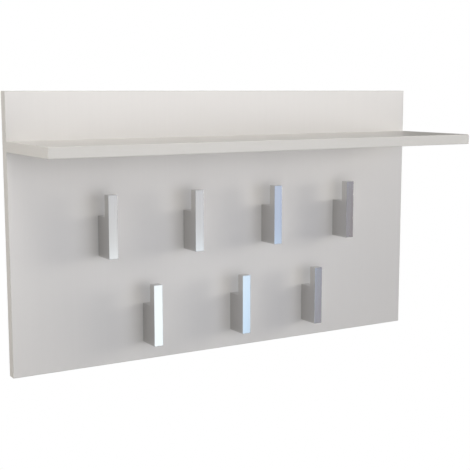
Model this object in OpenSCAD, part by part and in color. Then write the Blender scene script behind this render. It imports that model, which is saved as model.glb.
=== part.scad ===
// Wall coat rack: a faced back panel, a full-width shelf near its top and two
// staggered rows of fixed metal hooks, hung on two keyhole plates let into its back.
// +X runs to the right as seen from the front, +Z is up and the front looks along -Y.
// The back of the panel lies in the plane y = 0, with its centre on the origin.

/* [Boards] */
// Overall width of the back panel and of the shelf
panel_w = 740; // [700:10:1000]
// Overall height of the back panel
panel_h = 424; // [424:2:600]
// Thickness of both faced boards
board_t = 16; // [16:1:22]
// How far the shelf stands out from the front of the panel
shelf_depth = 169; // [140:1:260]
// Height of panel that is left above the top of the shelf
panel_above_shelf = 72; // [72:1:110]
// Thickness of the glued edge band
band_t = 0.8; // [0.4:0.1:2]

/* [Hooks] */
// Width of a hook
hook_w = 15; // [13:0.5:20]
// Height of a hook's front bar
hook_h = 97; // [90:1:110]
// How far a hook stands out from the front of the panel
hook_reach = 40; // [36:0.5:60]
// Thickness of the front bar, front to back
bar_t = 14; // [8:0.5:16]
// Height of the stem between the front bar and the panel
stem_h = 62.5; // [60:0.5:68]
// Radius of a hook's long edges
hook_round = 0.8; // [0.4:0.1:2]
// Height of the upper hooks' lower ends above the bottom of the panel
upper_row_h = 173; // [150:1:200]
// Height of the lower hooks' lower ends above the bottom of the panel
lower_row_h = 29; // [20:1:40]
// Centres of the four upper hooks across the panel
upper_hook_x = [-222, -74, 74, 222]; // [-330:1:330]
// Centres of the three lower hooks across the panel
lower_hook_x = [-148, 13, 157]; // [-330:1:330]

/* [Hook screws] */
// Radius of the machine screw's thread
hook_screw_r = 2; // [1.5:0.5:2.5]
// Length of the screw, with its countersunk head
hook_screw_len = 25; // [22:1:27]
// Radius of the countersunk head
hook_screw_head_r = 4; // [3.5:0.1:4.5]
// Distance between the two screws of a hook
hook_screw_pitch = 36; // [24:1:44]
// Depth of the tapped hole in the stem
tap_depth = 13; // [13:1:16]

/* [Shelf fixings] */
// Centres of the shelf screws across the panel
shelf_screw_x = [-330, -110, 110, 330]; // [-340:1:340]
// Radius of the plain shank inside the panel
shelf_screw_r = 3.5; // [3:0.1:3.5]
// Mean radius of the coarse thread inside the shelf
shelf_thread_r = 3; // [2.5:0.1:3]
// Length of the shelf screw
shelf_screw_len = 50; // [45:1:60]
// Radius of the shelf screw's head
shelf_screw_head_r = 5; // [4.5:0.1:5.5]
// Centres of the wooden dowels across the panel
dowel_x = [-240, 0, 240]; // [-300:1:300]
// Radius of a dowel
dowel_r = 4; // [3:0.5:4]
// Length of a dowel
dowel_len = 30; // [25:1:35]

/* [Keyhole plates] */
// Distance between the two keyholes
hanger_spacing = 600; // [560:1:640]
// Distance of the plates' centres below the top of the panel
hanger_below_top = 36; // [34:1:38]
// Width of a plate
plate_w = 26; // [24:1:30]
// Height of a plate
plate_h = 58; // [56:1:60]
// Thickness of the steel
plate_t = 1.5; // [1:0.1:1.5]
// Radius of the round entry for the wall screw's head
entry_r = 6; // [5.5:0.1:6.5]
// Width of the slot for the wall screw's neck
slot_w = 6.5; // [6:0.1:7]
// Height of the slot's end above the middle of the round entry
slot_rise = 14; // [12:1:14]

/* [Hidden] */
$fn = 48;

eps = 0.5;               // how far a cutter runs out of the face that it opens
panel_front = -board_t;  // y of the panel's front face
panel_top = panel_h / 2;
core_w = panel_w - 2 * band_t;
shelf_top = panel_top - panel_above_shelf;
shelf_mid = shelf_top - board_t / 2;

// hooks, numbered from the left, the upper row first
upper_z = upper_row_h - panel_top;
lower_z = lower_row_h - panel_top;
hook_at = concat(
    [for (x = upper_hook_x) [x, upper_z]],
    [for (x = lower_hook_x) [x, lower_z]]
);
tap_z = [stem_h / 2 - hook_screw_pitch / 2, stem_h / 2 + hook_screw_pitch / 2];

head_sink = 0.4;         // screw heads lie this far under the back face
hook_hole_r = hook_screw_r + 0.25;
hook_head_h = hook_screw_head_r - hook_screw_r;
shelf_head_h = 2.5;
shelf_tip_h = 3;
hole_spare = 2;          // a shelf screw's hole is this much deeper than the screw
dowel_in_panel = 10;
dowel_chamfer = 1;
glue_gap = 0.5;

// keyhole plates
hanger_z = panel_top - hanger_below_top;
plate_sink = 0.2;        // the plates lie this far under the back face
plate_round = 4;
plate_play = 0.3;        // play around a plate in its pocket
entry_z = hanger_z - 6;
head_pocket_w = 16;
head_pocket_depth = 8;
hanger_screw_pitch = 45;
hanger_screw_r = 1.5;
hanger_screw_head_r = 3.2;
hanger_screw_len = 12;
hanger_head_h = hanger_screw_head_r - hanger_screw_r;

board_white = [0.88, 0.87, 0.85];
band_white = [0.84, 0.83, 0.81];
hook_nickel = [0.72, 0.73, 0.75];
zinc = [0.66, 0.68, 0.70];
beech = [0.80, 0.66, 0.47];

// a cylinder along Y between two depths, straight or tapered
module rod_y(x, z, y0, y1, r0, r1 = undef)
    translate([x, y0, z])
        rotate([-90, 0, 0])
            cylinder(h = y1 - y0, r1 = r0, r2 = is_undef(r1) ? r0 : r1);

// a box from its low corner to its high corner
module block(low, high)
    translate(low)
        cube(high - low);

// a flat rectangle from [0, 0] with four round corners
module round_rectangle(w, h, r) {
    translate([r, 0])
        square([w - 2 * r, h]);
    translate([0, r])
        square([w, h - 2 * r]);
    for (u = [r, w - r], v = [r, h - r])
        translate([u, v])
            circle(r);
}

// a round-cornered plate that faces +Y, centred on [x, z], between two depths
module plate_y(x, z, w, h, r, y0, y1)
    translate([x - w / 2, y1, z - h / 2])
        rotate([90, 0, 0])
            linear_extrude(y1 - y0)
                round_rectangle(w, h, r);

// a screw hole through the panel, countersunk from the back until the head lies under the face
module screw_hole(x, z, hole_r, shank_r, head_r, head_h) {
    flare = (head_r - shank_r) / head_h;
    mouth_r = head_r + flare * (head_sink + eps);
    rod_y(x, z, panel_front - eps, -head_sink - head_h / 2, hole_r);
    rod_y(x, z, -head_sink - head_h, eps, shank_r, mouth_r);
}

// the pocket of a keyhole plate, with a deeper pocket for the wall screw's head
module hanger_pocket(x) {
    plate_y(
        x, hanger_z, plate_w + 2 * plate_play, plate_h + 2 * plate_play,
        plate_round + plate_play, -plate_sink - plate_t, eps
    );
    low = entry_z - head_pocket_w / 2;
    high = entry_z + slot_rise + head_pocket_w / 2;
    plate_y(
        x, (low + high) / 2, head_pocket_w, high - low,
        head_pocket_w / 2 - 0.01, -head_pocket_depth, eps
    );
    for (way = [-1, 1])
        rod_y(x, hanger_z + way * hanger_screw_pitch / 2, -hanger_screw_len - 1, 0, hanger_screw_r);
}

module back_panel()
    color(board_white)
        difference() {
            block(
                [-core_w / 2, panel_front, -panel_top + band_t],
                [core_w / 2, 0, panel_top - band_t]
            );
            for (at = hook_at, up = tap_z)
                screw_hole(
                    at[0], at[1] + up, hook_hole_r,
                    hook_screw_r, hook_screw_head_r, hook_head_h
                );
            for (x = shelf_screw_x)
                screw_hole(
                    x, shelf_mid, shelf_screw_r,
                    shelf_screw_r, shelf_screw_head_r, shelf_head_h
                );
            for (x = dowel_x)
                rod_y(
                    x, shelf_mid, panel_front - eps,
                    panel_front + dowel_in_panel + glue_gap, dowel_r
                );
            for (way = [-1, 1])
                hanger_pocket(way * hanger_spacing / 2);
        }

module panel_edge_band_across(z)
    color(band_white)
        block([-panel_w / 2, panel_front, z], [panel_w / 2, 0, z + band_t]);

module panel_edge_band_upright(x)
    color(band_white)
        block([x, panel_front, -panel_top + band_t], [x + band_t, 0, panel_top - band_t]);

module shelf_board()
    color(board_white)
        difference() {
            block(
                [-core_w / 2, panel_front - shelf_depth + band_t, shelf_top - board_t],
                [core_w / 2, panel_front, shelf_top]
            );
            for (x = shelf_screw_x)
                rod_y(
                    x, shelf_mid, -head_sink - shelf_screw_len - hole_spare,
                    panel_front + eps, shelf_thread_r
                );
            for (x = dowel_x)
                rod_y(
                    x, shelf_mid, panel_front + dowel_in_panel - dowel_len - glue_gap,
                    panel_front + eps, dowel_r
                );
        }

module shelf_edge_band_front()
    color(band_white)
        block(
            [-panel_w / 2, panel_front - shelf_depth, shelf_top - board_t],
            [panel_w / 2, panel_front - shelf_depth + band_t, shelf_top]
        );

module shelf_edge_band_end(x)
    color(band_white)
        block(
            [x, panel_front - shelf_depth + band_t, shelf_top - board_t],
            [x + band_t, panel_front, shelf_top]
        );

// side view of a hook: a tall front bar and a shorter stem, flush at the bottom
module hook_profile() {
    translate([-hook_reach, 0])
        round_rectangle(bar_t, hook_h, hook_round);
    translate([-hook_reach + hook_round, 0])
        square([hook_reach - hook_round, stem_h]);
}

module hook(number) {
    x = hook_at[number - 1][0];
    z = hook_at[number - 1][1];
    color(hook_nickel)
        difference() {
            translate([x - hook_w / 2, panel_front, z])
                rotate([90, 0, 90])
                    linear_extrude(hook_w)
                        hook_profile();
            for (up = tap_z)
                rod_y(x, z + up, panel_front - tap_depth, panel_front + eps, hook_screw_r);
        }
}

// two crossed slots for the driver, cut into a head from the back
module cross_recess(x, z, y, reach, width, depth)
    for (turn = [0, 90])
        translate([x, y, z])
            rotate([0, turn, 0])
                block([-reach, -depth, -width / 2], [reach, eps, width / 2]);

module hook_screws()
    color(zinc)
        for (at = hook_at, up = tap_z) {
            z = at[1] + up;
            difference() {
                union() {
                    rod_y(
                        at[0], z, -head_sink - hook_head_h, -head_sink,
                        hook_screw_r, hook_screw_head_r
                    );
                    rod_y(
                        at[0], z, -head_sink - hook_screw_len, -head_sink - hook_head_h,
                        hook_screw_r
                    );
                }
                cross_recess(at[0], z, -head_sink, 2.2, 0.9, 1.8);
            }
        }

module shelf_screws()
    color(zinc)
        for (x = shelf_screw_x)
            difference() {
                union() {
                    rod_y(
                        x, shelf_mid, -head_sink - shelf_head_h, -head_sink,
                        shelf_screw_r, shelf_screw_head_r
                    );
                    rod_y(x, shelf_mid, panel_front, -head_sink - shelf_head_h, shelf_screw_r);
                    rod_y(
                        x, shelf_mid, -head_sink - shelf_screw_len + shelf_tip_h,
                        panel_front, shelf_thread_r
                    );
                    rod_y(
                        x, shelf_mid, -head_sink - shelf_screw_len,
                        -head_sink - shelf_screw_len + shelf_tip_h, 1, shelf_thread_r
                    );
                }
                translate([x, -head_sink + eps, shelf_mid])
                    rotate([90, 0, 0])
                        cylinder(h = 3 + eps, r = 2.3, $fn = 6);
            }

module shelf_dowels()
    color(beech)
        for (x = dowel_x) {
            back = panel_front + dowel_in_panel;
            front = back - dowel_len;
            rod_y(
                x, shelf_mid, front, front + dowel_chamfer,
                dowel_r - dowel_chamfer, dowel_r
            );
            rod_y(x, shelf_mid, front + dowel_chamfer, back - dowel_chamfer, dowel_r);
            rod_y(
                x, shelf_mid, back - dowel_chamfer, back,
                dowel_r, dowel_r - dowel_chamfer
            );
        }

module hanger_plate(x) {
    back = -plate_sink;
    front = back - plate_t;
    color(zinc)
        difference() {
            plate_y(x, hanger_z, plate_w, plate_h, plate_round, front, back);
            rod_y(x, entry_z, front - eps, back + eps, entry_r);
            block(
                [x - slot_w / 2, front - eps, entry_z],
                [x + slot_w / 2, back + eps, entry_z + slot_rise - slot_w / 2]
            );
            rod_y(x, entry_z + slot_rise - slot_w / 2, front - eps, back + eps, slot_w / 2);
            for (way = [-1, 1]) {
                z = hanger_z + way * hanger_screw_pitch / 2;
                rod_y(x, z, front - eps, back + eps, hanger_screw_r + 0.3);
                rod_y(
                    x, z, back - hanger_head_h, back,
                    hanger_screw_r, hanger_screw_head_r
                );
            }
        }
}

module hanger_screws()
    color(zinc)
        for (side = [-1, 1], way = [-1, 1]) {
            x = side * hanger_spacing / 2;
            z = hanger_z + way * hanger_screw_pitch / 2;
            back = -plate_sink;
            difference() {
                union() {
                    rod_y(
                        x, z, back - hanger_head_h, back,
                        hanger_screw_r, hanger_screw_head_r
                    );
                    rod_y(
                        x, z, back - hanger_screw_len + 2, back - hanger_head_h,
                        hanger_screw_r
                    );
                    rod_y(
                        x, z, back - hanger_screw_len, back - hanger_screw_len + 2,
                        0.3, hanger_screw_r
                    );
                }
                cross_recess(x, z, back, 1.7, 0.8, 1.2);
            }
        }

back_panel();
panel_edge_band_across(panel_top - band_t);  // panel_edge_band_top
panel_edge_band_across(-panel_top);  // panel_edge_band_bottom
panel_edge_band_upright(-panel_w / 2);  // panel_edge_band_left
panel_edge_band_upright(core_w / 2);  // panel_edge_band_right
shelf_board();
shelf_edge_band_front();
shelf_edge_band_end(-panel_w / 2);  // shelf_edge_band_left
shelf_edge_band_end(core_w / 2);  // shelf_edge_band_right
hook(1);  // hook_1
hook(2);  // hook_2
hook(3);  // hook_3
hook(4);  // hook_4
hook(5);  // hook_5
hook(6);  // hook_6
hook(7);  // hook_7
hook_screws();
shelf_screws();
shelf_dowels();
hanger_plate(-hanger_spacing / 2);  // hanger_plate_left
hanger_plate(hanger_spacing / 2);  // hanger_plate_right
hanger_screws();
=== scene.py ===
# The looks of a wall hook rack: two white melamine-faced boards with thin plastic edge bands,
# seven bright anodised aluminium hooks, and zinc-plated fixings let into the back.
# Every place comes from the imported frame. Lengths are in metres unless a name says mm.

import math

import bpy
from mathutils import Matrix, Vector


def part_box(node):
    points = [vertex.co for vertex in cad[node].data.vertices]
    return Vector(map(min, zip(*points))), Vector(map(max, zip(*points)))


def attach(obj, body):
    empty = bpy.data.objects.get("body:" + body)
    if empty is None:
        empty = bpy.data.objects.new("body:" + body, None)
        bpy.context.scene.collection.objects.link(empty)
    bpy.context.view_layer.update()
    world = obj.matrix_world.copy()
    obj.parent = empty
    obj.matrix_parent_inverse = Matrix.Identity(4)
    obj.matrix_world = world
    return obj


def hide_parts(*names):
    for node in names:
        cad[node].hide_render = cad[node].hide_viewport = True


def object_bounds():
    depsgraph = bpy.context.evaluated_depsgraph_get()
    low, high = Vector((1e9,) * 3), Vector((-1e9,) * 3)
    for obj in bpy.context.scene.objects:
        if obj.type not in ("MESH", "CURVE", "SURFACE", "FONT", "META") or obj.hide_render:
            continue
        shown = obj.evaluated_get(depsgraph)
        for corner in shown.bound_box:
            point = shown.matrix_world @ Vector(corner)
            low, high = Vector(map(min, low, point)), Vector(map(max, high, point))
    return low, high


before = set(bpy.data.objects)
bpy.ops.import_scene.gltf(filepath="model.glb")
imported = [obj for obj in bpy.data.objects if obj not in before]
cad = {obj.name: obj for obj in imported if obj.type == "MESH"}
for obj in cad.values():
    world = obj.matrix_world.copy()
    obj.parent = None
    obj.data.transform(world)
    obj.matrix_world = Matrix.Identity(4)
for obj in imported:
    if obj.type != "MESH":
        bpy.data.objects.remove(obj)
cad_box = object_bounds()

MM = 0.001

TOUCH_MM = 0.01         # corners closer than this lie in one place
ARRIS_MM = 0.7          # the cutter leaves this radius on an edge band that is 0.8 mm thick
HOOK_ARRIS_MM = 0.4     # tumbled arris of a sawn aluminium extrusion
FACING_MM = 0.25        # thickness of the melamine paper, drawn a little thick
FIXING_ARRIS_MM = 0.15  # arris of a screw head or a pressed plate
CREASE = math.radians(40)  # faces that meet more sharply than this keep an edge between them
HOOK_NAMES = [f"hook_{number}" for number in range(1, 8)]


# ---- making meshes -----------------------------------------------------------------------------

def start_block(name, low, high):
    """A cube primitive that fills the box between two corners, with its place in its mesh."""
    bpy.ops.object.select_all(action="DESELECT")
    bpy.ops.mesh.primitive_cube_add(size=1, location=(low + high) / 2, scale=high - low)
    piece = bpy.context.object
    piece.name = name
    piece.data.name = name
    bpy.ops.object.transform_apply(location=True, rotation=True, scale=True)
    return piece


def pick(piece, kind, wanted):
    """Goes into edit mode with only the edges or faces selected whose corners all pass a test."""
    bpy.ops.object.mode_set(mode="EDIT")
    bpy.ops.mesh.select_mode(type=kind)
    bpy.ops.mesh.select_all(action="DESELECT")
    bpy.ops.object.mode_set(mode="OBJECT")
    mesh = piece.data
    elements = mesh.edges if kind == "EDGE" else mesh.polygons
    for element in elements:
        element.select = wanted([mesh.vertices[corner].co for corner in element.vertices])
    bpy.ops.object.mode_set(mode="EDIT")


def lies_on(corners, axis, place):
    """True when all the corners have that coordinate on that axis."""
    return all(abs(corner[axis] - place) < TOUCH_MM * MM for corner in corners)


def apply_modifier(piece, kind, **settings):
    """Adds a modifier with these settings and applies it."""
    bpy.ops.object.select_all(action="DESELECT")
    bpy.context.view_layer.objects.active = piece
    piece.select_set(True)
    modifier = piece.modifiers.new(kind.title(), kind)
    for setting, value in settings.items():
        setattr(modifier, setting, value)
    bpy.ops.object.modifier_apply(modifier=modifier.name)


def smooth(piece):
    """Smooth arrises between flat faces that stay flat."""
    bpy.ops.object.select_all(action="DESELECT")
    bpy.context.view_layer.objects.active = piece
    piece.select_set(True)
    bpy.ops.object.shade_smooth_by_angle(angle=CREASE)
    apply_modifier(piece, "WEIGHTED_NORMAL", keep_sharp=True)


def finish_piece(piece, node, material):
    """Dresses a piece and puts it in place of its CAD node."""
    piece.data.materials.clear()
    piece.data.materials.append(material)
    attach(piece, "root")
    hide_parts(node)


# ---- edge bands --------------------------------------------------------------------------------

def edge_band(node, glued, material):
    """A band whose free arrises are rounded. glued lists the sides that touch a board or another
    band, each as an axis and the end of that axis: 0 for the low end, 1 for the high end."""
    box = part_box(node)
    piece = start_block("abs_" + node, *box)
    pick(
        piece, "EDGE",
        lambda ends: not any(lies_on(ends, axis, box[side][axis]) for axis, side in glued),
    )
    bpy.ops.mesh.bevel(offset=ARRIS_MM * MM, segments=4, affect="EDGES", clamp_overlap=False)
    bpy.ops.object.mode_set(mode="OBJECT")
    smooth(piece)
    finish_piece(piece, node, material)


def all_edge_bands(material):
    """The side bands run between the top and bottom ones, and the front one past the end ones."""
    edge_band("panel_edge_band_top", [(2, 0)], material)
    edge_band("panel_edge_band_bottom", [(2, 1)], material)
    edge_band("panel_edge_band_left", [(0, 1), (2, 0), (2, 1)], material)
    edge_band("panel_edge_band_right", [(0, 0), (2, 0), (2, 1)], material)
    edge_band("shelf_edge_band_front", [(1, 1)], material)
    edge_band("shelf_edge_band_left", [(0, 1), (1, 0), (1, 1)], material)
    edge_band("shelf_edge_band_right", [(0, 0), (1, 0), (1, 1)], material)


# ---- hooks -------------------------------------------------------------------------------------

BAR_MM = 14          # thickness of the front bar, front to back
STEM_MM = 62.5       # height of the stem
TAP_R_MM = 2         # the two tapped holes in the back of the stem
TAP_DEPTH_MM = 13
TAP_PITCH_MM = 36


def first_hook():
    """The first hook: a sawn length of extrusion, whose front bar is drawn up above the stem."""
    low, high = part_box("hook_1")
    stem_top = low.z + STEM_MM * MM
    bar_back = low.y + BAR_MM * MM
    piece = start_block("metal_hook_1", low, Vector((high.x, high.y, stem_top)))
    bpy.ops.object.mode_set(mode="EDIT")
    bpy.ops.mesh.select_all(action="SELECT")
    bpy.ops.mesh.bisect(plane_co=(0, bar_back, 0), plane_no=(0, 1, 0))
    pick(
        piece, "FACE",
        lambda ends: lies_on(ends, 2, stem_top)
        and all(end.y < bar_back + TOUCH_MM * MM for end in ends),
    )
    bpy.ops.mesh.extrude_region_move(TRANSFORM_OT_translate={"value": (0, 0, high.z - stem_top)})
    bpy.ops.mesh.select_all(action="SELECT")
    bpy.ops.mesh.dissolve_limited(angle_limit=math.radians(1))
    pick(piece, "EDGE", lambda ends: not lies_on(ends, 1, high.y))
    bpy.ops.mesh.bevel(offset=HOOK_ARRIS_MM * MM, segments=4, affect="EDGES")
    bpy.ops.object.mode_set(mode="OBJECT")
    for way in (-1, 1):
        tap(piece, (low.x + high.x) / 2, high.y, low.z + (STEM_MM + way * TAP_PITCH_MM) / 2 * MM)
    smooth(piece)
    return piece


def tap(piece, x, y, z):
    """Cuts one tapped hole into the back of a hook's stem."""
    bpy.ops.object.select_all(action="DESELECT")
    bpy.ops.mesh.primitive_cylinder_add(
        vertices=32, radius=TAP_R_MM * MM, depth=2 * TAP_DEPTH_MM * MM,
        location=(x, y, z), rotation=(math.pi / 2, 0, 0),
    )
    drill = bpy.context.object
    apply_modifier(piece, "BOOLEAN", operation="DIFFERENCE", object=drill, solver="EXACT")
    bpy.data.objects.remove(drill)


def all_hooks(material):
    """The other hooks are copies of the first, each moved to its own CAD node."""
    model = first_hook()
    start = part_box("hook_1")[0]
    hooks = []
    for name in HOOK_NAMES:
        piece = model
        if name != "hook_1":
            piece = model.copy()
            piece.data = model.data.copy()
            piece.name = "metal_" + name
            piece.data.name = piece.name
            piece.data.transform(Matrix.Translation(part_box(name)[0] - start))
            bpy.context.scene.collection.objects.link(piece)
        hooks.append((piece, name))
    for piece, name in hooks:
        finish_piece(piece, name, material)


# ---- materials ---------------------------------------------------------------------------------

def colour(code):
    """An sRGB hex colour as the linear colour that a shader takes."""
    parts = [int(code[start:start + 2], 16) / 255 for start in (1, 3, 5)]
    linear = [p / 12.92 if p <= 0.04045 else ((p + 0.055) / 1.055) ** 2.4 for p in parts]
    return linear + [1]


def add(tree, kind, links=None, **settings):
    """Adds a shader node. settings are its properties; links fills its sockets, by name or
    number, with plain values or with the outputs of other nodes."""
    node = tree.nodes.new("ShaderNode" + kind)
    for setting, value in settings.items():
        setattr(node, setting, value)
    for socket, value in (links or {}).items():
        if isinstance(value, bpy.types.NodeSocket):
            tree.links.new(value, node.inputs[socket])
        else:
            node.inputs[socket].default_value = value
    return node


def new_material(name):
    """An empty material and its Object coordinates."""
    material = bpy.data.materials.new(name)
    material.use_nodes = True
    tree = material.node_tree
    tree.nodes.clear()
    place = add(tree, "TexCoord").outputs["Object"]
    return material, tree, place


def stretched_noise(tree, place, sizes_mm, detail=2.0):
    """Noise whose blotches have these sizes along X, Y and Z."""
    scale = [1 / (size * MM) for size in sizes_mm]
    mapped = add(tree, "Mapping", {"Vector": place, "Scale": scale})
    noise = add(tree, "TexNoise", {"Vector": mapped.outputs[0], "Scale": 1.0, "Detail": detail})
    return noise.outputs["Fac"]


def ramp(tree, value, stops):
    """A colour ramp through hex colours, each at its position."""
    node = add(tree, "ValToRGB", {"Fac": value})
    while len(node.color_ramp.elements) < len(stops):
        node.color_ramp.elements.new(0.5)
    for element, (position, code) in zip(node.color_ramp.elements, stops):
        element.position = position
        element.color = colour(code)
    return node.outputs["Color"]


def spread(tree, value, low, high, start=0.3, end=0.7):
    """A value from start to end stretched to the range from low to high."""
    links = {"Value": value, "From Min": start, "From Max": end, "To Min": low, "To Max": high}
    return add(tree, "MapRange", links).outputs[0]


def close(tree, links):
    """The Principled shader and the output of a material."""
    shader = add(tree, "BsdfPrincipled", links)
    add(tree, "OutputMaterial", {"Surface": shader.outputs[0]})


CHIP_MM = 2              # size of the wood chips
CHIP_RELIEF_MM = 0.3     # how rough the cut core is
PEARL_RELIEF_MM = 0.006  # how deep the facing's pearl texture is


# Melamine-faced chipboard: printed paper pressed with resin on both faces, off-white with a silk
# sheen, a hardly visible grain and a fine pearl texture. Cut into, it shows its wood chips.
def melamine_faced_board(node, thickness_axis, grain_sizes_mm, light, dark):
    """light and dark are the two shades of the print; for the shelf both are also set a shade
    darker, painted shade.
    """
    low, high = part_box(node)
    material, tree, place = new_material("melamine_faced_" + node)
    split = add(tree, "SeparateXYZ", {"Vector": place})
    middle = (low[thickness_axis] + high[thickness_axis]) / 2
    half = (high[thickness_axis] - low[thickness_axis]) / 2
    from_middle = add(
        tree, "Math", {0: split.outputs[thickness_axis], 1: middle}, operation="SUBTRACT"
    )
    distance = add(tree, "Math", {0: from_middle.outputs[0]}, operation="ABSOLUTE")
    faced = add(
        tree, "Math", {0: distance.outputs[0], 1: half - FACING_MM * MM}, operation="GREATER_THAN"
    ).outputs[0]

    # the print's grain runs in streaks some 4 mm wide and 300 mm long
    grain = stretched_noise(tree, place, grain_sizes_mm, detail=3.0)
    paper = ramp(tree, grain, [(0.3, dark), (0.7, light)])

    # pale and brown wood chips with dark bark among them
    chip_scale = 1 / (CHIP_MM * MM)
    chip = add(tree, "Mapping", {"Vector": place, "Scale": (chip_scale, chip_scale, chip_scale)})
    chips = add(tree, "TexVoronoi", {"Vector": chip.outputs[0], "Scale": 1.0})
    shade = add(tree, "SeparateColor", {"Color": chips.outputs["Color"]})
    core = ramp(
        tree, shade.outputs[0],
        [(0.0, "#7d5f41"), (0.25, "#b4915f"), (0.7, "#d2b383"), (1.0, "#e2caa0")],
    )

    surface = add(tree, "Mix", {0: faced, 6: core, 7: paper}, data_type="RGBA")
    pearl = stretched_noise(tree, place, (0.9, 0.9, 0.9), detail=1.0)
    roughness = add(tree, "Mix", {0: faced, 2: 0.9, 3: spread(tree, pearl, 0.33, 0.4)})
    rough_chips = add(tree, "Mix", {0: faced, 2: shade.outputs[1], 3: pearl})
    depth = add(tree, "Mix", {0: faced, 2: CHIP_RELIEF_MM * MM, 3: PEARL_RELIEF_MM * MM})
    bump = add(
        tree, "Bump",
        {"Height": rough_chips.outputs[0], "Distance": depth.outputs[0], "Strength": 1.0},
    )
    close(tree, {
        "Base Color": surface.outputs[2], "Roughness": roughness.outputs[0],
        "IOR": 1.5, "Normal": bump.outputs[0],
    })
    return material


# ABS edge banding: extruded plastic, coloured through, a touch duller than the panel's paper,
# with a faint mottle and a slight orange peel. It is a shade darker than the paper: partly the
# band's own colour, partly painted shade on the shelf front and board ends.
def abs_edge_banding():
    material, tree, place = new_material("abs_edge_banding")
    mottle = stretched_noise(tree, place, (6, 6, 6))
    # the tint's darker shade is partly the band's own colour and partly painted shade
    tint = ramp(tree, mottle, [(0.3, "#d4d1ca"), (0.7, "#d5d2cc")])
    peel = stretched_noise(tree, place, (1.5, 1.5, 1.5), detail=1.0)
    bump = add(tree, "Bump", {"Height": peel, "Distance": 0.004 * MM, "Strength": 1.0})
    close(tree, {
        "Base Color": tint, "Roughness": spread(tree, peel, 0.36, 0.46), "IOR": 1.53,
        "Normal": bump.outputs[0],
    })
    return material


# Bright anodised aluminium: extruded, finely brushed along the bar and anodised clear, so it
# mirrors the room softly. The brush lines, really 0.1 mm apart, are drawn 0.6 mm apart.
def bright_anodised_aluminium():
    material, tree, place = new_material("bright_anodised_aluminium")
    brush = stretched_noise(tree, place, (0.6, 0.6, 60), detail=2.0)
    tint = ramp(tree, brush, [(0.3, "#cbcac9"), (0.7, "#d0cfce")])
    bump = add(tree, "Bump", {"Height": brush, "Distance": 0.002 * MM, "Strength": 1.0})
    close(tree, {
        "Base Color": tint, "Metallic": 1.0, "Roughness": spread(tree, brush, 0.13, 0.19),
        "Normal": bump.outputs[0],
    })
    return material


# Zinc-plated steel with a clear blue passivation: dull silver, clouded here and there towards
# blue and straw.
def blue_zinc_plated_steel():
    material, tree, place = new_material("blue_zinc_plated_steel")
    cloud = stretched_noise(tree, place, (5, 5, 5), detail=3.0)
    tint = ramp(tree, cloud, [(0.3, "#b9c2cc"), (0.5, "#c9cdd0"), (0.7, "#d0cdc2")])
    spangle = stretched_noise(tree, place, (0.6, 0.6, 0.6))
    bump = add(tree, "Bump", {"Height": spangle, "Distance": 0.01 * MM, "Strength": 1.0})
    close(tree, {
        "Base Color": tint, "Metallic": 1.0, "Roughness": spread(tree, spangle, 0.28, 0.42),
        "Normal": bump.outputs[0],
    })
    return material


# Turned beech: pale pinkish brown with short dark flecks along the dowel.
def turned_beech():
    material, tree, place = new_material("turned_beech")
    grain = stretched_noise(tree, place, (1.2, 18, 1.2), detail=3.0)
    tint = ramp(tree, grain, [(0.3, "#b98a5c"), (0.45, "#d3ab7d"), (0.7, "#dfbf95")])
    bump = add(tree, "Bump", {"Height": grain, "Distance": 0.05 * MM, "Strength": 1.0})
    close(tree, {"Base Color": tint, "Roughness": 0.62, "Normal": bump.outputs[0]})
    return material


def dress(nodes, material, arris_mm=0):
    """Gives CAD nodes a material, and where arris_mm is set, fine arrises."""
    for name in nodes:
        piece = cad[name]
        piece.data.materials.clear()
        piece.data.materials.append(material)
        if arris_mm:
            weld = piece.modifiers.new("Weld", "WELD")
            weld.merge_threshold = TOUCH_MM * MM
            bevel = piece.modifiers.new("Arris", "BEVEL")
            bevel.width = arris_mm * MM
            bevel.segments = 2
            bevel.limit_method = "ANGLE"
            bevel.angle_limit = CREASE


# ---- camera, floor and light -------------------------------------------------------------------

SENSOR_MM = 36
TONE_LEAN = 0.45            # the reflector's tones lean to the right by this part of their height
TONE_SPAN = (0.4, 1.6)      # they change between these places, in metres to the right
FOLD_SPAN = (-0.27, -0.35)  # and between these heights, in metres


def set_camera(place, turn_degrees, tilt_degrees, lens_mm):
    """The camera looks at the rack, turned to the right and tilted down by these angles."""
    data = bpy.data.cameras.new("camera")
    data.sensor_width = SENSOR_MM
    data.lens = lens_mm
    camera = bpy.data.objects.new("camera", data)
    bpy.context.scene.collection.objects.link(camera)
    camera.location = place
    turn = math.radians(turn_degrees)
    tilt = math.radians(tilt_degrees)
    forward = Vector((
        math.sin(turn) * math.cos(tilt), math.cos(turn) * math.cos(tilt), -math.sin(tilt)
    ))
    camera.rotation_euler = forward.to_track_quat("-Z", "Y").to_euler()
    bpy.context.scene.camera = camera


def set_floor(drop, side):
    """A plain pale floor, well below the rack, that the camera sees as white."""
    bpy.ops.object.select_all(action="DESELECT")
    bpy.ops.mesh.primitive_plane_add(size=side, location=(0, 0, cad_box[0].z - drop))
    floor = bpy.context.object
    floor.name = "floor"
    material = bpy.data.materials.new("pale_floor")
    material.use_nodes = True
    tree = material.node_tree
    tree.nodes.clear()
    glow = add(tree, "Emission", {"Color": colour("#ffffff"), "Strength": 1.0})
    add(tree, "OutputMaterial", {"Surface": glow.outputs[0]})
    floor.data.materials.append(material)
    for ray in ("diffuse", "glossy", "shadow", "transmission"):
        setattr(floor, "visible_" + ray, False)


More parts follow.
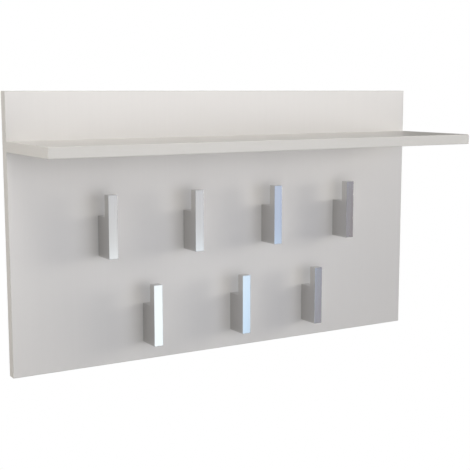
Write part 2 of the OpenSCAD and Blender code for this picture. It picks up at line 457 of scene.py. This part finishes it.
def set_world(room_tint, front_strength, back_strength):
    """A white backdrop for the camera. It lights nothing, but mirrors see a room that is pale in
    front of the rack and darker behind it."""
    world = bpy.data.worlds.new("studio")
    bpy.context.scene.world = world
    world.use_nodes = True
    tree = world.node_tree
    tree.nodes.clear()
    rays = add(tree, "LightPath").outputs
    way = add(tree, "SeparateXYZ", {"Vector": add(tree, "TexCoord").outputs["Generated"]})
    # a direction's Y runs from -1 in front of the rack to 1 behind it
    depth = spread(tree, way.outputs["Y"], front_strength, back_strength, start=-0.5, end=0.5)
    mirrored = add(tree, "Math", {0: rays["Is Glossy Ray"], 1: depth}, operation="MULTIPLY")
    room = add(tree, "Background", {"Color": colour(room_tint), "Strength": mirrored.outputs[0]})
    white = add(tree, "Background", {"Color": colour("#ffffff"), "Strength": 1.0})
    mixed = add(
        tree, "MixShader", {0: rays["Is Camera Ray"], 1: room.outputs[0], 2: white.outputs[0]}
    )
    add(tree, "OutputWorld", {"Surface": mixed.outputs[0]})


def set_reflector(low, high, strength):
    """A tall cloth reflector that only mirrors see: pale grey at its left, blue in the middle and
    dark at its right, and brighter below a fold. The hooks' fronts mirror it."""
    bpy.ops.object.select_all(action="DESELECT")
    centre = (Vector(low) + Vector(high)) / 2
    bpy.ops.mesh.primitive_plane_add(size=1, location=centre, rotation=(math.pi / 2, 0, 0))
    cloth = bpy.context.object
    cloth.name = "reflector"
    cloth.scale = (high[0] - low[0], high[2] - low[2], 1)
    bpy.ops.object.transform_apply(location=True, rotation=True, scale=True)
    for ray in ("camera", "diffuse", "shadow", "transmission"):
        setattr(cloth, "visible_" + ray, False)
    material, tree, place = new_material("reflector_cloth")
    split = add(tree, "SeparateXYZ", {"Vector": place})
    lean = add(
        tree, "Math", {0: split.outputs["Z"], 1: -TONE_LEAN, 2: split.outputs["X"]},
        operation="MULTIPLY_ADD",
    )
    across = spread(tree, lean.outputs[0], 0, 1, *TONE_SPAN)
    down = spread(tree, split.outputs["Z"], 0, 1, *FOLD_SPAN)
    upper = ramp(tree, across, [(0.4, "#c2c2c3"), (0.64, "#aabee0"), (0.78, "#86807f")])
    lower = ramp(tree, across, [(0.4, "#f4fcff"), (0.68, "#bee0ff"), (0.79, "#8a8589")])
    tint = add(tree, "Mix", {0: down, 6: upper, 7: lower}, data_type="RGBA")
    glow = add(tree, "Emission", {"Color": tint.outputs[2], "Strength": strength})
    add(tree, "OutputMaterial", {"Surface": glow.outputs[0]})
    cloth.data.materials.append(material)


def softbox(name, azimuth, elevation, distance, side, power, tint, glossy=True):
    """A square softbox aimed at the rack. azimuth is in degrees to the right of straight ahead,
    elevation in degrees, distance and side in metres, and power in watts."""
    data = bpy.data.lights.new(name, "AREA")
    data.shape = "SQUARE"
    data.size = side
    data.energy = power
    data.color = colour(tint)[:3]
    box = bpy.data.objects.new(name, data)
    bpy.context.scene.collection.objects.link(box)
    turn, rise = math.radians(azimuth), math.radians(elevation)
    way = Vector((
        math.sin(turn) * math.cos(rise), -math.cos(turn) * math.cos(rise), math.sin(rise)
    ))
    box.location = way * distance
    box.rotation_euler = way.to_track_quat("Z", "Y").to_euler()
    box.visible_camera = False
    box.visible_glossy = glossy


bpy.context.scene.view_settings.view_transform = "Standard"
set_camera((-0.8369, -1.4303, 0.2131), turn_degrees=31.06, tilt_degrees=8.19, lens_mm=77.12)
set_floor(drop=0.9, side=14)
set_world("#e4e8ee", front_strength=0.5, back_strength=0.15)
set_reflector((0.1, -1.5, -0.85), (1.8, -1.5, -0.03), strength=1.8)
softbox("key_right", 62, 8, 2.2, 0.7, 5.6, "#fffcf8")
softbox("low_right", 70, 4, 2.2, 0.7, 10.9, "#fffdf5")
softbox("front_right", 30, 15, 2.4, 1.8, 5.7, "#d8e4fe")
softbox("overhead", -30, 70, 2.4, 1.2, 31.0, "#fffdf9")
softbox("left_high", -60, 60, 2.4, 1.2, 9.0, "#fffdfa")
softbox("left_edge", -98, 0, 2.4, 0.9, 28.0, "#fffcfb", glossy=False)
softbox("near_left", -60, 20, 1.0, 0.6, 1.2, "#fbfcff", glossy=False)
softbox("near_front_left", -15, 0, 1.0, 0.6, 2.6, "#fdfdff", glossy=False)
softbox("near_front_right", 15, 0, 1.0, 0.6, 1.8, "#fafaff", glossy=False)
softbox("floor_bounce", -20, -65, 2.4, 1.8, 7.4, "#fffdfa", glossy=False)
softbox("behind", 180, -10, 2.4, 0.9, 22.0, "#ffffff")

# the grain runs up the panel and along the shelf; the shelf's facing is set a shade darker,
# painted shade that makes its top read darker than the panel
panel_facing = melamine_faced_board("back_panel", 1, (4, 4, 300), "#ebe8e4", "#eae7e3")
shelf_facing_painted_shade = melamine_faced_board("shelf_board", 2, (300, 4, 4), "#cbc8c4", "#cac7c2")
all_edge_bands(abs_edge_banding())
all_hooks(bright_anodised_aluminium())
dress(["back_panel"], panel_facing)
dress(["shelf_board"], shelf_facing_painted_shade)
zinc = blue_zinc_plated_steel()
dress(["hanger_plate_left", "hanger_plate_right"], zinc, FIXING_ARRIS_MM)
dress(["hook_screws", "shelf_screws", "hanger_screws"], zinc, FIXING_ARRIS_MM)
dress(["shelf_dowels"], turned_beech())
